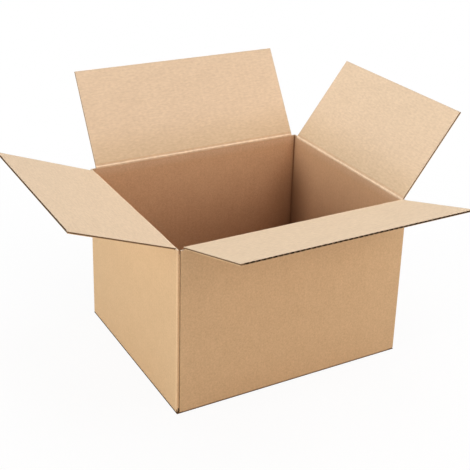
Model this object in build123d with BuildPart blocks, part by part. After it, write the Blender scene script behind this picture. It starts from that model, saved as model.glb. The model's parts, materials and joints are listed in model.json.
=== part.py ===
"""Open shipping carton of single-wall corrugated board, all four top flaps folded out.

The carton is one creased and slotted sheet. Here it is five solids: the body, which is
the four walls, the glued side joint and the glued bottom, and the four top flaps, which
turn on their creases.

Frame: millimetres, Z up, origin at the centre of the base. The long walls face -Y
(front) and +Y (back), the end walls face -X (left) and +X (right).
"""
from build123d import *
import os
from math import asin, atan2, cos, hypot, radians, sin, tan

os.makedirs("parts", exist_ok=True)

# The carton
inside_length = 300.0
inside_width = 250.0
wall_height = 206.0

# The board: two flat liners with a wavy medium between them
board_thickness = 2.2
liner_thickness = 0.25
medium_thickness = 0.25
flute_pitch = 6.35
flute_tip_radius = 0.7

# Creases and cuts
corner_radius = 1.8
bottom_fold_radius = 1.5
crease_overhang = 0.2
crease_relief = 0.21
crushed_band = 3.0
layer_clearance = 0.3
slot_setback = 7.2
slot_undercut = 0.8
slot_clearance = 0.3
closing_gap = 3.0
seam_gap = 1.5

# The glued side joint at the corner of the front and left walls
joint_setback = 3.4
tab_width = 35.0
tab_taper = 9.0
tab_end_gap = 1.0

# How far each flap leans out from upright
front_tilt = 73.0
back_tilt = 32.0
left_tilt = 69.5
right_tilt = 37.0

# Worked out from the sizes above
half_length = inside_length / 2 + board_thickness
half_width = inside_width / 2 + board_thickness
long_crease = 2 * (half_length - slot_setback)
end_crease = 2 * (half_width - slot_setback)
long_flap_width = long_crease - 2 * slot_clearance
end_flap_width = end_crease - 2 * slot_clearance
flap_depth = half_width + crease_overhang - closing_gap / 2
long_fold_height = wall_height
end_fold_height = wall_height - board_thickness - layer_clearance
slot_floor = long_fold_height - slot_undercut
core_height = board_thickness - 2 * liner_thickness
flute_depth = flap_depth - crease_overhang - board_thickness - crushed_band


def crease_plane(facing, fold_height, tilt=0.0):
    """Section plane across a crease: origin on the crease, X through the board towards
    the inside, Y up the flap, Z along the crease. Facing is the wall's outward angle."""
    outward = Vector(1, 0, 0).rotate(Axis.Z, facing)
    run = Vector(0, 1, 0).rotate(Axis.Z, facing)
    reach = abs(outward.X) * half_length + abs(outward.Y) * half_width + crease_overhang
    inward = outward * -cos(radians(tilt)) + Vector(0, 0, 1) * sin(radians(tilt))
    return Plane(origin=outward * reach + Vector(0, 0, fold_height), x_dir=inward, z_dir=run)


def flute_cavity():
    """The air space under one crest of the medium, its base on the liner at Y = 0, and
    the half width of that base. Three flats make the round of the crest."""
    tip_height = core_height - medium_thickness - flute_tip_radius
    rise = 2 * tip_height - core_height
    run = flute_pitch / 2
    flank = atan2(rise, run) + asin((2 * flute_tip_radius + medium_thickness) / hypot(rise, run))
    crest = [
        (flute_tip_radius * sin(turn * flank), tip_height + flute_tip_radius * cos(turn * flank))
        for turn in (1, 1 / 3, -1 / 3, -1)
    ]
    half_base = crest[0][0] + crest[0][1] / tan(flank)
    with BuildSketch() as cavity:
        Polygon((-half_base, 0), (half_base, 0), *crest, align=None)
    return cavity.sketch, half_base


def fluted_flap(facing, fold_height, width, tilt):
    """One top flap, mitred at its crease so that it can close, its flutes open at the free edge."""
    section = crease_plane(facing, fold_height, tilt)
    outer = crease_overhang
    inner = crease_overhang + board_thickness
    cavity, half_base = flute_cavity()
    pitches = int((width - 2 * half_base - 2 * liner_thickness) // flute_pitch)
    with BuildPart() as flap:
        with BuildSketch(section):
            Polygon(
                (outer, outer + crease_relief),
                (inner, inner + crease_relief),
                (inner, flap_depth),
                (outer, flap_depth),
                align=None,
            )
        extrude(amount=width / 2, both=True)

        free_edge = Plane(
            origin=section.from_local_coords((outer + liner_thickness, flap_depth, 0)),
            x_dir=section.z_dir,
            z_dir=section.y_dir,
        )
        with BuildSketch(free_edge):
            with GridLocations(flute_pitch, 1, pitches + 1, 1):
                add(cavity)
            with Locations((0, core_height)):
                with GridLocations(flute_pitch, 1, pitches, 1):
                    add(cavity, rotation=180)
        extrude(amount=-flute_depth, mode=Mode.SUBTRACT)
    return flap


# Seen in plan, the end of the left wall, which folds in behind the cut end of the front wall
with BuildSketch() as joint_fold:
    with Locations((-half_length, -half_width + board_thickness)):
        Rectangle(board_thickness, board_thickness, align=(Align.MIN, Align.MIN))
    fillet(joint_fold.vertices().group_by(Axis.X)[0].group_by(Axis.Y)[0], corner_radius)

# Body: the walls, the glue tab and the four glued bottom flaps
with BuildPart() as body:
    # Bottom flaps of the long walls, which meet under the middle
    with BuildSketch(Plane.XY):
        with PolarLocations(half_width, 2, start_angle=90):
            Rectangle(half_width - seam_gap / 2, long_flap_width, align=(Align.MAX, Align.CENTER))
    extrude(amount=board_thickness)
    long_edges = body.edges().filter_by(Axis.X).group_by(Axis.Z)[0].group_by(Axis.Y)
    fillet(long_edges[0] + long_edges[-1], bottom_fold_radius)

    # Bottom flaps of the end walls, which lie on them
    with BuildSketch(Plane.XY.offset(board_thickness)):
        with PolarLocations(half_length, 2):
            Rectangle(flap_depth, end_flap_width, align=(Align.MAX, Align.CENTER))
    extrude(amount=board_thickness)

    # Walls, standing on the round of the lower folds
    with BuildSketch(Plane.XY.offset(bottom_fold_radius)):
        RectangleRounded(2 * half_length, 2 * half_width, corner_radius)
        Rectangle(inside_length, inside_width, mode=Mode.SUBTRACT)
        with Locations((-half_length, -half_width)):
            Rectangle(2 * joint_setback, 4 * board_thickness, mode=Mode.SUBTRACT)
        add(joint_fold.sketch)
    extrude(amount=wall_height - bottom_fold_radius)

    # Glue tab, with tapered ends, held against the inside of the front wall
    tab_root = -half_length + board_thickness
    tab_tip = tab_root + tab_width
    tab_top = end_fold_height - board_thickness - tab_end_gap
    tab_bottom = 2 * board_thickness + tab_end_gap
    with BuildSketch(Plane.XZ.offset(half_width - board_thickness)):
        Polygon(
            (tab_root, tab_bottom),
            (tab_tip, tab_bottom + tab_taper),
            (tab_tip, tab_top - tab_taper),
            (tab_root, tab_top),
            align=None,
        )
    extrude(amount=-board_thickness)

    # Slots at the four corners, cut a little past the upper creases
    with BuildSketch(Plane.XY.offset(slot_floor)):
        with GridLocations(2 * half_length, 2 * half_width, 2, 2):
            Rectangle(2 * slot_setback, 2 * slot_setback)
    extrude(amount=wall_height, mode=Mode.SUBTRACT)

    # Mitres along the top of each wall, under the crease of its flap
    outer = -crease_overhang
    inner = 2 * board_thickness
    for facing, fold_height, width in (
        (-90, long_fold_height, long_crease),
        (90, long_fold_height, long_crease),
        (180, end_fold_height, end_crease),
        (0, end_fold_height, end_crease),
    ):
        with BuildSketch(crease_plane(facing, fold_height)):
            Polygon(
                (outer, -outer - crease_relief),
                (inner, -inner - crease_relief),
                (inner, wall_height),
                (outer, wall_height),
                align=None,
            )
        extrude(amount=width / 2, both=True, mode=Mode.SUBTRACT)
body.part.label = "body"
export_step(body.part, "parts/body.step")

for name, facing, fold_height, width, tilt in (
    ("front_flap", -90, long_fold_height, long_flap_width, front_tilt),
    ("back_flap", 90, long_fold_height, long_flap_width, back_tilt),
    ("left_flap", 180, end_fold_height, end_flap_width, left_tilt),
    ("right_flap", 0, end_fold_height, end_flap_width, right_tilt),
):
    flap = fluted_flap(facing, fold_height, width, tilt)
    flap.part.label = name
    export_step(flap.part, f"parts/{name}.step")
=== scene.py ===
"""The open shipping carton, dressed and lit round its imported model.

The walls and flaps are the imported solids. This script gives them the paper of plain brown
liner board, and adds what bends when a flap turns: the crushed board in the four creases,
and the outer liner round each fold.

Lengths are metres. A board has three directions of its own: across its flutes, along them,
and through its thickness.
"""

import json
from math import atan2, cos, exp, pi, radians, sin, sqrt

import bmesh
import bpy
from mathutils import Matrix, Vector


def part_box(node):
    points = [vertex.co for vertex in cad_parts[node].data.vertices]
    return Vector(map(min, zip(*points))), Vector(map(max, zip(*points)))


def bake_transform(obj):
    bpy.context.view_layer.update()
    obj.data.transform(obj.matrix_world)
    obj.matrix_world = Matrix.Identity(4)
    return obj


MM = 0.001

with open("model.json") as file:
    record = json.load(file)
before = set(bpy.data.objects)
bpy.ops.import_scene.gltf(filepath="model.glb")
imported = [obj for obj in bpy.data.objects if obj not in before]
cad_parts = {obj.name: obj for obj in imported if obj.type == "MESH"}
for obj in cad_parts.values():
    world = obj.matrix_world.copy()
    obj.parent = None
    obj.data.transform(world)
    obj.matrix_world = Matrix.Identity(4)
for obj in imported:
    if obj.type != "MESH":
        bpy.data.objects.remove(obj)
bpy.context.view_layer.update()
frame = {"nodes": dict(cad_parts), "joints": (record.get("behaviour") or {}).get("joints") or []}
body_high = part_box("body")[1]

# The board and its cuts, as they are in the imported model
board_thickness = 2.2 * MM
liner_thickness = 0.25 * MM
medium_thickness = 0.25 * MM
flute_pitch = 6.35 * MM
crease_overhang = 0.2 * MM
crease_relief = 0.21 * MM
closing_gap = 3.0 * MM
half_length = body_high.x
half_width = body_high.y
flap_depth = half_width + crease_overhang - closing_gap / 2
core_low = liner_thickness
core_high = board_thickness - liner_thickness

# The crushed board in a crease, seen in section round its hinge line
crest_radius = 0.9 * MM
crest_rise = 0.15 * MM
crest_reach = 0.7 * MM
groove_depth = 0.3 * MM
groove_offset = 1.9 * MM
groove_reach = 0.6 * MM
section_steps = 36

# Its underside, from either end to the middle: share of the half turn, and distance from
# the hinge line
crease_underside = ((1.0, 1.7 * MM), (0.8, 1.25 * MM), (0.5, 0.95 * MM), (0.0, 0.85 * MM))

# How the crushed board wanders along a crease, which is built in steps
crease_wander = 0.09 * MM
long_wander = 19 * MM
short_wander = 11 * MM
wander_swing = 1.7
crease_step = 4.0 * MM
smooth_angle = radians(40)

# How far the outer liner's two faces lie from the hinge line at the middle of the fold
fold_inner_radius = 2.6 * crease_overhang
fold_outer_radius = 1.15 * crease_overhang

# Kraft paper, as linear colour, with painted shade and painted light among it
outer_liner_colour = (0.600, 0.414, 0.234)
# Paler than the outer liner, partly its own colour and partly painted light on faces that look up
inner_liner_and_light_colour = (0.756, 0.588, 0.412)
# Painted shade on the liner inside the carton, and deeper painted shade low down
shaded_liner_colour = (0.615, 0.388, 0.224)
deep_shade_liner_colour = (0.480, 0.282, 0.160)
# Painted warm shade near a flap's crease
crease_shade_colour = (0.650, 0.490, 0.310)
medium_colour = (0.400, 0.265, 0.150)
cut_paper_colour = (0.220, 0.140, 0.075)
crushed_colour = (0.150, 0.088, 0.042)
# Painted shade deep in the flutes, and painted light in those that light falls into
shaded_hollow_colour = (0.022, 0.011, 0.005)
lit_hollow_colour = (0.560, 0.370, 0.200)
rubbed_colour = (0.640, 0.520, 0.400)

# How much paler or darker than its plain colour the paper is in some places, with painted light on
# the recessed joint and a painted highlight on a crease's crest
flap_outside_lift = 1.1
recess_light_lift = 1.15
crest_highlight_lift = 1.12
streak_depth = 0.4

# What the grain, its flecks and the shadow in a fold multiply the paper's colour by
dark_grain = (0.81, 0.785, 0.76, 1)
pale_grain = (1.19, 1.215, 1.24, 1)
dark_fleck = (0.62, 0.56, 0.50, 1)
pale_fleck = (1.35, 1.40, 1.45, 1)
fold_shade = (0.42, 0.36, 0.31, 1)

# Each grain's patches by their size across the flutes, along them and through the board,
# then the detail and the roughness of its noise
cloud_grain = ((34 * MM, 22 * MM, 20 * MM), 3.0, 0.55)
mottle_grain = ((5.6 * MM, 2.2 * MM, 2.0 * MM), 2.0, 0.5)
fibre_grain = ((1.5 * MM, 0.22 * MM, 0.5 * MM), 3.0, 0.65)
fleck_grain = ((1.9 * MM, 0.42 * MM, 1.0 * MM), 1.0, 0.5)
crushed_grain = ((0.5 * MM, 3.5 * MM, 0.16 * MM), 2.0, 0.6)

# Noise is mostly near a half, so that only its ends make flecks
fleck_shift = 76 * MM
dark_fleck_noise = (0.68, 0.76)
dark_fleck_share = 0.35
pale_fleck_noise = (0.26, 0.19)
pale_fleck_share = 0.30

# How much each part of the grain changes the tone
cloud_tone = 0.36
mottle_tone = 1.15
fibre_tone = 0.16
ripple_tone = 0.015
flap_contrast = 0.7
long_wall_contrast = 0.88
end_wall_contrast = 0.63

# Relief of the paper, in millimetres, and its sheen
ripple_relief = 0.018
fibre_relief = 0.030
mottle_relief = 0.035
paper_roughness = 0.70
roughness_spread = 0.14
paper_gloss = 0.1

# Painted shade on a flap near its crease and along its pressed line, and wear along its edges, by
# distance from its hinge line or from its edges
crease_shade_reach = 55 * MM
groove_shade_band = (4.6 * MM, 2.6 * MM)
groove_shade_share = 0.7
worn_border = (2.2 * MM, 0.4 * MM)
worn_share = 0.35

# How clearly the painted shade near a crease and along its pressed groove, and the groove itself,
# show, by the cosine of the flap's lean
low_flap_cosine = 0.35
press_gain = 1.6
least_groove = 0.2

# Cut edges: where the core shows on a flap's, how deep the cut paper is there before the painted
# shade of its hollows, which of its flutes are painted lit, and how far from its own middle the
# painted medium ends
side_core_low = 0.55 * MM
side_core_margin = 0.12 * MM
end_core_margin = 0.16 * MM
cut_depth = (0.1 * MM, 0.8 * MM)
lit_flutes = (-0.15, 0.6)
medium_edge = (0.4 * medium_thickness, 0.8 * medium_thickness)

# Painted highlight on a crease's crest and painted shade beside it, by distance past its crest, and
# the layers of its cut ends by radius
crest_middle = 0.1 * MM
crest_highlight_band = (1.9 * MM, 1.2 * MM)
wall_side_shade = (-2.6 * MM, -0.8 * MM)
flap_side_groove_shade = (1.8 * MM, 2.3 * MM)
outer_liner_radius = 0.82 * MM
core_radius = 2.1 * MM

# Painted shade and painted light inside the carton, by height above the base
deep_shade_heights = (60 * MM, 190 * MM)
top_light_heights = (190 * MM, 203 * MM)
top_light_share = 0.26
shadow_heights = (195 * MM, 115 * MM)

# Shade inside the carton, by distance from an upright corner
corner_line = (1.8 * MM, 0.9 * MM)
corner_line_fade = 0.4
corner_haze_reach = 7 * MM
corner_haze = 0.22
corner_shadow_reach = 60 * MM
long_wall_shadow = 0.42
end_wall_shadow = 0.85

# Painted shadow lines along the base and along the ends of the upper bottom flaps
base_shadow_line = (2.0 * MM, 1.0 * MM)
flap_end_shadow_line = (1.2 * MM, 0.5 * MM)
shadow_line_share = 0.6

# What tells one face from another: how far its normal reaches in a direction
squarely = 0.7
partly = 0.5
rounded_faces = (0.2, 0.97)
# Share of wear and painted highlight on the rounded corners
rounded_wear_and_highlight_share = 0.15

# Margins for points that lie right on a limit
rounding = 0.02 * MM
hairline = 0.05 * MM
outward = 0.1 * MM

# How much a face's depth in the board counts against the way it looks, for each metre
depth_weight = 100

# The studio
white = (1, 1, 1, 1)
room_light = 0.11
floor_size = 8.0
floor_drop = 0.2 * MM
floor_colour = (0.88, 0.88, 0.88, 1)
glow_reach = (0.2, 0.8)
floor_glow = (0.92, 1.0)
lamp_target = Vector((0, 0, 0.15))
lamp_distance = 3.2
lamp_size = 2.0

# The camera, fitted to the carton's edges in the photograph
camera_place = (-0.5683, -0.9845, 0.6881)
camera_turn = -30.49
camera_dip = 21.58
camera_roll = 2.06
lens_length = 76.98
sensor_width = 36
lens_shift = (-0.04, -0.16)

axes = ((1, 0, 0), (0, 1, 0), (0, 0, 1))


class Signal:
    """One output of a node. Python's operators on it add Math nodes."""

    def __init__(self, finish, socket):
        self.finish = finish
        self.socket = socket

    def maths(self, operation, *values):
        settings = {"operation": operation}
        return self.finish.node("ShaderNodeMath", settings, dict(enumerate(values)))

    def __add__(self, other):
        return self.maths("ADD", self, other)

    def __radd__(self, other):
        return self.maths("ADD", other, self)

    def __sub__(self, other):
        return self.maths("SUBTRACT", self, other)

    def __rsub__(self, other):
        return self.maths("SUBTRACT", other, self)

    def __mul__(self, other):
        return self.maths("MULTIPLY", self, other)

    def __rmul__(self, other):
        return self.maths("MULTIPLY", other, self)

    def __truediv__(self, other):
        return self.maths("DIVIDE", self, other)

    def __rtruediv__(self, other):
        return self.maths("DIVIDE", other, self)

    def __gt__(self, other):
        return self.maths("GREATER_THAN", self, other)

    def __lt__(self, other):
        return self.maths("LESS_THAN", self, other)

    def __abs__(self):
        return self.maths("ABSOLUTE", self)

    def cosine(self):
        return self.maths("COSINE", self)

    def least(self, other):
        return self.maths("MINIMUM", self, other)

    def most(self, other):
        return self.maths("MAXIMUM", self, other)


class Finish:
    """The nodes of one material, or of the world."""

    def __init__(self, owner):
        self.owner = owner
        owner.use_nodes = True
        self.tree = owner.node_tree
        self.tree.nodes.clear()

    def node(self, kind, settings=None, sockets=None, output=0):
        """Adds a node, sets it up, fills its sockets, and gives back one of its outputs."""
        made = self.tree.nodes.new(kind)
        for name, value in (settings or {}).items():
            setattr(made, name, value)
        for key, value in (sockets or {}).items():
            if isinstance(value, Signal):
                self.tree.links.new(value.socket, made.inputs[key])
            else:
                made.inputs[key].default_value = value
        if made.outputs:
            return Signal(self, made.outputs[output])

    def place(self):
        """Where the point lies in the model's frame, with its own body at rest."""
        return self.node("ShaderNodeTexCoord", output="Object")

    def facing(self):
        """The surface's own direction, in the same frame."""
        return self.node("ShaderNodeTexCoord", output="Normal")

    def seen(self):
        """1 where the camera looks, straight or through gloss or glass."""
        camera = self.node("ShaderNodeLightPath", output="Is Camera Ray")
        gloss = self.node("ShaderNodeLightPath", output="Is Glossy Ray")
        glass = self.node("ShaderNodeLightPath", output="Is Transmission Ray")
        return camera.most(gloss).most(glass)

    def length(self, vector):
        return self.node("ShaderNodeVectorMath", {"operation": "LENGTH"}, {0: vector}, "Value")

    def along(self, vector, direction):
        """How far a vector reaches in a fixed direction."""
        settings = {"operation": "DOT_PRODUCT"}
        return self.node("ShaderNodeVectorMath", settings, {0: vector, 1: direction}, "Value")

    def vector(self, x, y, z):
        return self.node("ShaderNodeCombineXYZ", None, {0: x, 1: y, 2: z})

    def grain(self, place, patch, detail, roughness):
        """Noise in patches of a given size, laid out in the board's own directions."""
        vector = self.vector(*(part / size for part, size in zip(place, patch)))
        sockets = {"Vector": vector, "Scale": 1.0, "Detail": detail, "Roughness": roughness}
        return self.node("ShaderNodeTexNoise", None, sockets, "Fac")

    def between(self, value, start, end, from_value=0.0, to_value=1.0):
        """Moves smoothly from one value to another while the signal goes from start to end."""
        settings = {"interpolation_type": "SMOOTHSTEP"}
        sockets = {"Value": value, "From Min": start, "From Max": end}
        sockets.update({"To Min": from_value, "To Max": to_value})
        return self.node("ShaderNodeMapRange", settings, sockets)

    def mix(self, share, first, second, blend="MIX"):
        """Colour between two colours."""
        settings = {"data_type": "RGBA", "blend_type": blend}
        return self.node("ShaderNodeMix", settings, {0: share, 6: first, 7: second}, 2)

    def mix_shaders(self, share, first, second):
        return self.node("ShaderNodeMixShader", None, {0: share, 1: first, 2: second})

    def done(self, shader, kind="ShaderNodeOutputMaterial"):
        """Ends the nodes in one shader, and gives back the material or the world."""
        self.node(kind, None, {"Surface": shader})
        return self.owner


def new_finish(name):
    return Finish(bpy.data.materials.new(name))


def rgba(colour, lift=1.0):
    return (*(min(1.0, part * lift) for part in colour), 1.0)


def within(value, low, high):
    """1 where a signal lies between two values."""
    return (value > low) * (value < high)


def flute_wave(across):
    """1 over a crest of the medium, falling to -1 midway to the next."""
    return (across * (2 * pi / flute_pitch)).cosine()


def cut_along(finish, place):
    """The core where the cut follows the flutes: crushed paper in shadow."""
    streaks = finish.grain(place, *crushed_grain)
    dark = rgba(crushed_colour, 1 - streak_depth)
    light = rgba(crushed_colour, 1 + streak_depth)
    return finish.mix(streaks, dark, light)


def cut_across(finish, across, into_board, wall_colour, space_colour):
    """The core where the cut crosses the flutes: the wavy medium, with spaces between."""
    swing = (board_thickness - medium_thickness) / 2 - liner_thickness
    wave = flute_wave(across) * swing + board_thickness / 2
    space = finish.between(abs(into_board - wave), *medium_edge)
    return finish.mix(space, rgba(wall_colour), rgba(space_colour))


def paper(finish, place, liner, core, cut, shade=None, contrast=1.0):
    """Kraft liner over a fluted core. Place is the point's place across the flutes, along
    them and through the board. Core is 1 on cut edges between the liners and 0 on the
    liners, cut is the colour there, and shade is the share of shadow from a fold."""
    across, along, through = place
    clouds = finish.grain(place, *cloud_grain)
    mottle = finish.grain(place, *mottle_grain)
    fibres = finish.grain(place, *fibre_grain)
    flecks = finish.grain((across + fleck_shift, along, through), *fleck_grain)
    ripple = flute_wave(across)

    grain = (clouds - 0.5) * cloud_tone + (mottle - 0.5) * mottle_tone + (fibres - 0.5) * fibre_tone
    tone = grain * contrast + ripple * ripple_tone
    tint = finish.mix(tone + 0.5, dark_grain, pale_grain)
    tint = finish.mix(finish.between(flecks, *dark_fleck_noise) * dark_fleck_share, tint, dark_fleck)
    tint = finish.mix(finish.between(flecks, *pale_fleck_noise) * pale_fleck_share, tint, pale_fleck)
    if shade is not None:
        tint = finish.mix(shade, tint, fold_shade)
    colour = finish.mix(1.0, liner, tint, "MULTIPLY")
    colour = finish.mix(core, colour, cut)

    height = ripple * ripple_relief + (fibres - 0.5) * fibre_relief + (mottle - 0.5) * mottle_relief
    relief = {"Strength": 1.0, "Distance": MM, "Height": height}
    sockets = {
        "Base Color": colour,
        "Roughness": (mottle - 0.5) * roughness_spread + paper_roughness,
        "Normal": finish.node("ShaderNodeBump", None, relief, "Normal"),
        "Specular IOR Level": paper_gloss,
    }
    return finish.done(finish.node("ShaderNodeBsdfPrincipled", None, sockets))


def dress(thing, material):
    """Puts one material in every slot of an object."""
    thing.data.materials.clear()
    thing.data.materials.append(material)


class Fold:
    """One top flap's crease, with its own section: inward through the wall, and up the wall."""

    def __init__(self, joint):
        self.flap = joint["child"]
        self.hinge = Vector(joint["pos_m"])
        self.run = Vector(joint["axis"])
        # At the low end of its range the flap lies flat, a quarter turn inward from upright
        self.lean = radians(-joint["range_deg"][0] - 90)
        self.inward = Vector((-self.hinge.x, -self.hinge.y, 0)).normalized()
        self.up = Vector((0, 0, 1))
        low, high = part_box(self.flap)
        self.half_run = abs(self.run.dot(high - low)) / 2
        # The pressed groove, and the painted shade near the crease and along the groove, show on a
        # flap that stands up, and hardly on one that lies low
        self.groove_and_shade = max(0.0, cos(self.lean) - low_flap_cosine) * press_gain

    def point(self, inward, up, run=0.0):
        return self.hinge + self.inward * inward + self.up * up + self.run * run

    def polar(self, radius, angle, run=0.0):
        """A point round the hinge line, its angle measured from straight inward."""
        return self.point(radius * cos(angle), radius * sin(angle), run)

    def flap_inward(self):
        return self.inward * cos(self.lean) + self.up * sin(self.lean)

    def flap_up(self):
        return self.up * cos(self.lean) - self.inward * sin(self.lean)

    def flap_point(self, inward, up, run=0.0):
        """A point in the leaning flap's own section."""
        return self.hinge + self.flap_inward() * inward + self.flap_up() * up + self.run * run

    def board_place(self, finish):
        """Where a point of the board lies from the hinge line."""
        settings = {"operation": "SUBTRACT"}
        return finish.node("ShaderNodeVectorMath", settings, {0: finish.place(), 1: self.hinge})


def flap_finish(fold):
    """Board of one flap, laid out from its own hinge line. Its sides are cut along the
    flutes, and its free edge across them."""
    finish = new_finish(fold.flap + "_board")
    offset = fold.board_place(finish)
    facing = finish.facing()
    across = finish.along(offset, fold.run)
    along = finish.along(offset, fold.flap_up())
    through = finish.along(offset, fold.flap_inward())
    into_board = through - crease_overhang
    from_side = fold.half_run - abs(across)
    from_free_edge = flap_depth - along
    side = abs(finish.along(facing, fold.run)) > squarely
    free_end = finish.along(facing, fold.flap_up()) > squarely
    place = (across, along, through)

    # Painted shade near the crease, warm and darker
    crease_shade = finish.between(along, crease_shade_reach, 0.0) * fold.groove_and_shade
    inner_liner = finish.mix(crease_shade, rgba(inner_liner_and_light_colour), rgba(crease_shade_colour))
    # Painted shade along the pressed groove
    groove_shade = finish.between(along, *groove_shade_band) * groove_shade_share * fold.groove_and_shade
    inner_liner = finish.mix(groove_shade, inner_liner, rgba(shaded_liner_colour))
    worn = finish.between(from_free_edge.least(from_side), *worn_border) * worn_share
    inner_liner = finish.mix(worn, inner_liner, rgba(rubbed_colour))

    # The broad faces go by the way they look, and the cut edges by their depth in the board
    faces_inward = finish.along(facing, fold.flap_inward())
    on_inner = faces_inward + (into_board - board_thickness / 2) * depth_weight > 0
    liner = finish.mix(on_inner, rgba(outer_liner_colour, flap_outside_lift), inner_liner)

    nearest = into_board.least(board_thickness - into_board)
    side_core = within(into_board, side_core_low, board_thickness - side_core_margin) * side
    end_core = (nearest > end_core_margin) * free_end
    open_core = (nearest > liner_thickness - rounding) * (1 - side) * (1 - free_end)
    core = side_core.most(end_core).most(open_core)

    # Painted shade in the flutes under the inner liner, and painted light in those between, past the
    # cut paper at the edge
    lit = finish.between(flute_wave(across), *lit_flutes)
    painted_hollow_light = finish.mix(lit, rgba(shaded_hollow_colour), rgba(lit_hollow_colour))
    in_hollow = finish.between(from_free_edge, *cut_depth)
    open_end = finish.mix(in_hollow, rgba(cut_paper_colour), painted_hollow_light)
    cut = finish.mix(side, open_end, cut_along(finish, place))
    return paper(finish, place, liner, core, cut, contrast=flap_contrast)


class BodyPlace:
    """Where a point of the body lies, and which way its surface faces there."""

    def __init__(self, finish):
        place = finish.place()
        facing = finish.facing()
        self.x, self.y, self.z = (finish.along(place, axis) for axis in axes)
        toward_x, toward_y, toward_z = (finish.along(facing, axis) for axis in axes)
        self.faces_x = abs(toward_x)
        self.faces_y = abs(toward_y)
        self.faces_z = abs(toward_z)
        self.level = self.faces_z > squarely
        self.into_long_wall = half_width - abs(self.y)
        self.into_end_wall = half_length - abs(self.x)
        self.above_bottom = self.z > 2 * board_thickness

        # 1 where the surface looks away from the middle of the carton
        self.out_of_end = toward_x * self.x > outward
        self.out_of_side = toward_y * self.y > outward

        past_long_wall = self.into_long_wall - board_thickness
        past_end_wall = self.into_end_wall - board_thickness
        indoors = (past_long_wall > -rounding) * (past_end_wall > -rounding)
        indoors = indoors * (self.z > 0.5 * board_thickness)
        self.indoors = indoors * (1 - self.out_of_end) * (1 - self.out_of_side)

        # On the inside of a wall, how far off the nearest upright corner is
        self.from_corner = past_long_wall.most(past_end_wall)

    def in_board(self):
        """The point's place across the flutes, along them and through the board. The flutes
        stand upright in the walls, and run towards the middle in the bottom flaps."""
        upright = 1 - self.level
        upper_flap = self.level * (self.z > 1.5 * board_thickness)
        end_board = (self.faces_x > self.faces_y) * upright + upper_flap
        long_board = 1 - end_board
        across = self.x * long_board + self.y * end_board
        along = self.z * upright + (self.y * long_board + self.x * end_board) * self.level
        return across, along, self.into_long_wall + self.into_end_wall


def body_core(at):
    """1 on the body's cut edges, between their liners."""
    long_edge = within(at.into_long_wall, core_low, core_high) * (at.faces_y < partly)
    long_edge = long_edge * (at.into_end_wall > core_low)
    end_edge = within(at.into_end_wall, core_low, core_high) * (at.faces_x < partly)
    end_edge = end_edge * (at.into_long_wall > core_low) * (1 - at.out_of_side)

    lower_board = within(at.z, core_low, core_high)
    upper_board = within(at.z, board_thickness + core_low, board_thickness + core_high)
    inside_walls = (at.into_long_wall > board_thickness + hairline) * (at.faces_y > partly)
    inside_ends = (at.into_end_wall > board_thickness + hairline) * (at.faces_x > partly)
    bottom_edge = (lower_board + upper_board) * (inside_walls + inside_ends) * (at.faces_z < partly)
    return ((long_edge + end_edge) * at.above_bottom + bottom_edge).least(1.0)


def body_cut(finish, at, place):
    """Colour of the body's cut edges: the flutes' ends, pale on top of the walls, and in the
    bottom's seams with painted shade in the spaces between the flutes, and crushed board where the
    cut follows the flutes."""
    seam_across = at.x * (at.z < board_thickness) + at.y * (at.z > board_thickness)
    seam_into = at.z - board_thickness * (at.z > board_thickness)
    # The spaces in the bottom's seams are painted shade
    seam = cut_across(finish, seam_across, seam_into, medium_colour, shaded_hollow_colour)

    in_long_wall = at.into_long_wall < board_thickness
    top_across = at.x * in_long_wall + at.y * (1 - in_long_wall)
    top_into = at.into_long_wall.least(at.into_end_wall)
    top = cut_across(finish, top_across, top_into, inner_liner_and_light_colour, rubbed_colour)

    cut = finish.mix(at.level, seam, top)
    return finish.mix((1 - at.level) * at.above_bottom, cut, cut_along(finish, place))


def body_liner(finish, at):
    """Colour of the body's liners, with painted shade inside that deepens towards the bottom, and
    painted light at the top of the inside walls.
    """
    # Painted shade inside, deeper towards the bottom
    depth = finish.between(at.z, *deep_shade_heights)
    inside = finish.mix(depth, rgba(deep_shade_liner_colour), rgba(shaded_liner_colour))
    # Painted light at the top of the inside walls
    top_light = finish.between(at.z, *top_light_heights) * top_light_share
    inside = finish.mix(top_light, inside, rgba(inner_liner_and_light_colour))

    # The left wall's end is set back at the glued joint and painted lighter there against its shade,
    # and the other corners are rounded, paler with wear and a painted highlight
    recessed = (at.into_long_wall > core_high) * at.out_of_side
    outside = finish.mix(recessed, rgba(outer_liner_colour), rgba(outer_liner_colour, recess_light_lift))
    rounded = within(at.faces_x, *rounded_faces) * within(at.faces_y, *rounded_faces)
    outside = finish.mix(rounded * rounded_wear_and_highlight_share, outside, rgba(inner_liner_and_light_colour))
    return finish.mix(at.indoors, outside, inside)


def body_shade(finish, at):
    """Share of shadow at the inside corners, along the base outside, and along the free ends
    of the end walls' bottom flaps."""
    low_down = finish.between(at.z, *shadow_heights)
    corner = finish.between(at.from_corner, *corner_line) * (1.0 - low_down * corner_line_fade)
    corner = corner + finish.between(at.from_corner, corner_haze_reach, 0) * corner_haze
    on_wall = at.faces_y * long_wall_shadow + at.faces_x * end_wall_shadow
    corner = corner + finish.between(at.from_corner, corner_shadow_reach, 0) * low_down * on_wall
    corner = (corner * at.indoors * at.above_bottom).least(1.0)

    base = finish.between(at.z, *base_shadow_line) * (1 - at.indoors) * shadow_line_share
    from_flap_end = abs(abs(at.x) - (half_length - flap_depth))
    on_bottom = at.indoors * (at.z < 2.5 * board_thickness)
    flap_end = finish.between(from_flap_end, *flap_end_shadow_line) * on_bottom * shadow_line_share
    return corner + base + flap_end


def body_finish():
    """Board of the walls and of the glued bottom."""
    finish = new_finish("body_board")
    at = BodyPlace(finish)
    place = at.in_board()
    cut = body_cut(finish, at, place)
    contrast = long_wall_contrast - at.faces_x * (long_wall_contrast - end_wall_contrast)
    return paper(
        finish,
        place,
        body_liner(finish, at),
        body_core(at),
        cut,
        shade=body_shade(finish, at),
        contrast=contrast,
    )


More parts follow.
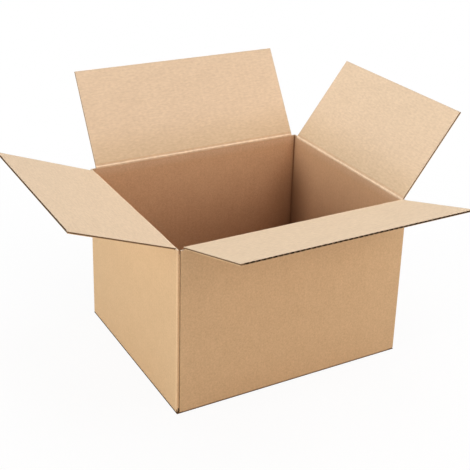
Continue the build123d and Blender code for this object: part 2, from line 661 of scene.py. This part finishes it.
def crease_finish(fold):
    """Liner where the flap bends: painted shade on the wall's side of the crest, a painted highlight
    on the crest, where the paper is also rubbed, painted shade along the pressed line, and the paler
    inner liner on the flap's side, with crushed board at the cut ends."""
    finish = new_finish(fold.flap + "_crease_board")
    offset = fold.board_place(finish)
    across = finish.along(offset, fold.run)
    along = finish.along(offset, fold.up)
    through = finish.along(offset, fold.inward)
    crest_up = fold.up * cos(fold.lean / 2) - fold.inward * sin(fold.lean / 2)
    past_crest = finish.along(offset, crest_up)
    place = (across, along, through)

    # Painted shade on the wall's side of the crest, fading to the inner liner
    over_crest = finish.between(past_crest, *wall_side_shade, top_light_share, 1.0)
    liner = finish.mix(over_crest, rgba(shaded_liner_colour), rgba(inner_liner_and_light_colour))
    # Painted highlight on the crest, where the paper is also rubbed
    crest_highlight = finish.between(abs(past_crest - crest_middle), *crest_highlight_band)
    liner = finish.mix(crest_highlight, liner, rgba(inner_liner_and_light_colour, crest_highlight_lift))
    # Painted shade along the pressed groove on the flap's side
    groove_shade = finish.between(past_crest, *flap_side_groove_shade) * groove_shade_share * fold.groove_and_shade
    liner = finish.mix(groove_shade, liner, rgba(shaded_liner_colour))
    radius = finish.length(finish.vector(along, through, 0))
    liner = finish.mix(radius < outer_liner_radius, liner, rgba(outer_liner_colour))

    ends = abs(finish.along(finish.facing(), fold.run)) > squarely
    end_core = within(radius, crease_overhang + core_low, crease_overhang + board_thickness) * ends
    core = end_core.most(within(radius, outer_liner_radius, core_radius))
    return paper(finish, place, liner, core, cut_along(finish, place))


def strip(name, sections):
    """A closed mesh through rings of points, one ring at each place along its run."""
    mesh = bpy.data.meshes.new(name)
    shape = bmesh.new()
    rings = [[shape.verts.new(point) for point in section] for section in sections]
    for first, second in zip(rings, rings[1:]):
        for i in range(len(first)):
            j = (i + 1) % len(first)
            shape.faces.new((first[i], first[j], second[j], second[i]))
    shape.faces.new(rings[0])
    shape.faces.new(rings[-1])
    bmesh.ops.recalc_face_normals(shape, faces=shape.faces)
    shape.to_mesh(mesh)
    shape.free()
    thing = bpy.data.objects.new(name, mesh)
    bpy.context.scene.collection.objects.link(thing)
    return thing


def shade_smooth(thing):
    """Smooth shading that keeps sharp edges."""
    with bpy.context.temp_override(object=thing, selected_editable_objects=[thing]):
        bpy.ops.object.shade_smooth_by_angle(angle=smooth_angle)


def crease_radius(fold, angle):
    """Distance of the crushed board's inner face from the hinge line: the two flat faces,
    a rounded and slightly raised crest between them, and a groove on the flap's side."""
    inner = crease_overhang + board_thickness
    middle = fold.lean / 2
    turn = angle - middle
    crest_centre = (inner - crest_radius) / cos(middle)
    round_until = middle - atan2(crest_centre * sin(middle), inner)
    if abs(turn) < round_until:
        radius = crest_centre * cos(turn) + sqrt(crest_radius**2 - (crest_centre * sin(turn)) ** 2)
    else:
        radius = inner / cos(middle - abs(turn))
    arm = radius * turn
    crest = crest_rise * exp(-((arm / crest_reach) ** 2))
    depth = groove_depth * max(least_groove, fold.groove_and_shade)
    return radius + crest - depth * exp(-(((arm - groove_offset) / groove_reach) ** 2))


def crease_section(fold, run, phase):
    """Ring of points round the crushed board at one place along the crease."""
    inner = crease_overhang + board_thickness
    edge_angle = atan2(inner + crease_relief, inner)
    first, last = -edge_angle, fold.lean + edge_angle
    middle = fold.lean / 2
    half_turn = (last - first) / 2
    sway = crease_wander * sin(phase + wander_swing * sin(run / long_wander) + run / short_wander)
    ring = []
    for i in range(section_steps + 1):
        angle = first + (last - first) * i / section_steps
        fade = min(1.0, 4 * min(i, section_steps - i) / section_steps)
        ring.append(fold.polar(crease_radius(fold, angle) + sway * fade, angle, run))
    for share, radius in crease_underside:
        ring.append(fold.polar(radius, middle + share * half_turn, run))
    for share, radius in reversed(crease_underside[:-1]):
        ring.append(fold.polar(radius, middle - share * half_turn, run))
    return ring


def outer_fold_section(fold, run):
    """Ring round the outer liner where it turns from the wall to the flap."""
    outer = crease_overhang
    deep = outer + liner_thickness
    middle = fold.lean / 2
    return [
        fold.point(outer, -outer - crease_relief, run),
        fold.point(deep, -deep - crease_relief, run),
        fold.polar(fold_inner_radius, middle, run),
        fold.flap_point(deep, deep + crease_relief, run),
        fold.flap_point(outer, outer + crease_relief, run),
        fold.polar(fold_outer_radius, middle, run),
    ]


def join_flap(fold, piece, depth):
    """Bakes a crease piece's place into its mesh. Its ends between the wall and the flap, at one
    depth in the board, are worked out but not used.
    """
    start = fold.point(depth, -depth - crease_relief)
    end = fold.flap_point(depth, depth + crease_relief)
    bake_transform(piece)


def add_crease(fold):
    """The board across one crease: its crushed inside, and its outer liner."""
    steps = round(2 * fold.half_run / crease_step)
    runs = [fold.half_run * (2 * i / steps - 1) for i in range(steps + 1)]
    phase = 2.0 * fold.lean
    finish = crease_finish(fold)

    inside = strip(fold.flap + "_crease", [crease_section(fold, run, phase) for run in runs])
    dress(inside, finish)
    shade_smooth(inside)
    join_flap(fold, inside, crease_overhang + board_thickness)

    ends = [outer_fold_section(fold, run) for run in (runs[0], runs[-1])]
    outside = strip(fold.flap + "_crease_outside", ends)
    dress(outside, finish)
    join_flap(fold, outside, crease_overhang)


def add_floor():
    """Pale floor, which keeps the carton's shadow. Under the carton it is painted dark as shade and
    doesn't glow, or it would shine through the bottom's seams."""
    bpy.ops.mesh.primitive_plane_add(size=floor_size, location=(0, 0, -floor_drop))
    floor = bpy.context.object
    floor.name = "floor"
    finish = new_finish("pale_floor")
    place = finish.place()
    under_carton = within(finish.along(place, axes[0]), -half_length, half_length)
    under_carton = under_carton * within(finish.along(place, axes[1]), -half_width, half_width)
    pale = finish.node("ShaderNodeBsdfDiffuse", None, {"Color": floor_colour})
    # Painted shade on the ground under the carton
    dark = finish.node("ShaderNodeBsdfDiffuse", None, {"Color": rgba(crushed_colour)})
    matt = finish.mix_shaders(under_carton, pale, dark)
    glow = finish.node("ShaderNodeEmission", None, {"Color": white, "Strength": 1.0})
    share = finish.between(finish.length(place), *glow_reach, *floor_glow)
    shader = finish.mix_shaders(finish.seen() * (1 - under_carton) * share, matt, glow)
    dress(floor, finish.done(shader))


def add_world():
    """Soft light from all round, with a white background behind the floor."""
    world = bpy.data.worlds.new("soft_room")
    bpy.context.scene.world = world
    finish = Finish(world)
    room = finish.node("ShaderNodeBackground", None, {"Color": white, "Strength": room_light})
    backdrop = finish.node("ShaderNodeBackground", None, {"Color": white, "Strength": 1.0})
    shader = finish.mix_shaders(finish.seen(), room, backdrop)
    finish.done(shader, "ShaderNodeOutputWorld")


def add_lamp(name, around, height, power, colour=(1, 1, 1)):
    """A large soft lamp that looks at the carton. Around is degrees from the front towards
    the right, and height is degrees above the floor."""
    around = radians(around)
    height = radians(height)
    away = Vector((sin(around) * cos(height), -cos(around) * cos(height), sin(height)))
    light = bpy.data.lights.new(name, "AREA")
    light.shape = "DISK"
    light.size = lamp_size
    light.energy = power
    light.color = colour
    lamp = bpy.data.objects.new(name, light)
    bpy.context.scene.collection.objects.link(lamp)
    lamp.location = lamp_target + away * lamp_distance
    lamp.rotation_mode = "QUATERNION"
    lamp.rotation_quaternion = (-away).to_track_quat("-Z", "Y")


def add_camera():
    """The photograph's viewpoint."""
    data = bpy.data.cameras.new("camera")
    data.sensor_width = sensor_width
    data.lens = lens_length
    data.shift_x, data.shift_y = lens_shift
    camera = bpy.data.objects.new("camera", data)
    bpy.context.scene.collection.objects.link(camera)
    turn = Matrix.Rotation(radians(camera_turn), 4, "Z")
    tilt = Matrix.Rotation(radians(90 - camera_dip), 4, "X")
    roll = Matrix.Rotation(radians(camera_roll), 4, "Z")
    camera.matrix_world = Matrix.Translation(camera_place) @ turn @ tilt @ roll
    bpy.context.scene.camera = camera


dress(frame["nodes"]["body"], body_finish())
for joint in frame["joints"]:
    fold = Fold(joint)
    dress(frame["nodes"][fold.flap], flap_finish(fold))
    add_crease(fold)

add_floor()
add_world()
add_lamp("left_lamp", -90, 15, 67.5)
add_lamp("front_lamp", 0, 25, 34.5, (1, 0.80, 0.72))
add_lamp("front_right_lamp", 45, 40, 20, (1, 1, 0.97))
add_lamp("high_lamp", 45, 70, 10)
add_lamp("right_lamp", 90, 40, 26, (0.92, 0.95, 1))
add_lamp("back_lamp", 180, 50, 23, (0.92, 0.94, 1))
add_lamp("top_lamp", 0, 90, 22, (0.98, 0.99, 1))
add_camera()
bpy.context.scene.view_settings.view_transform = "Standard"
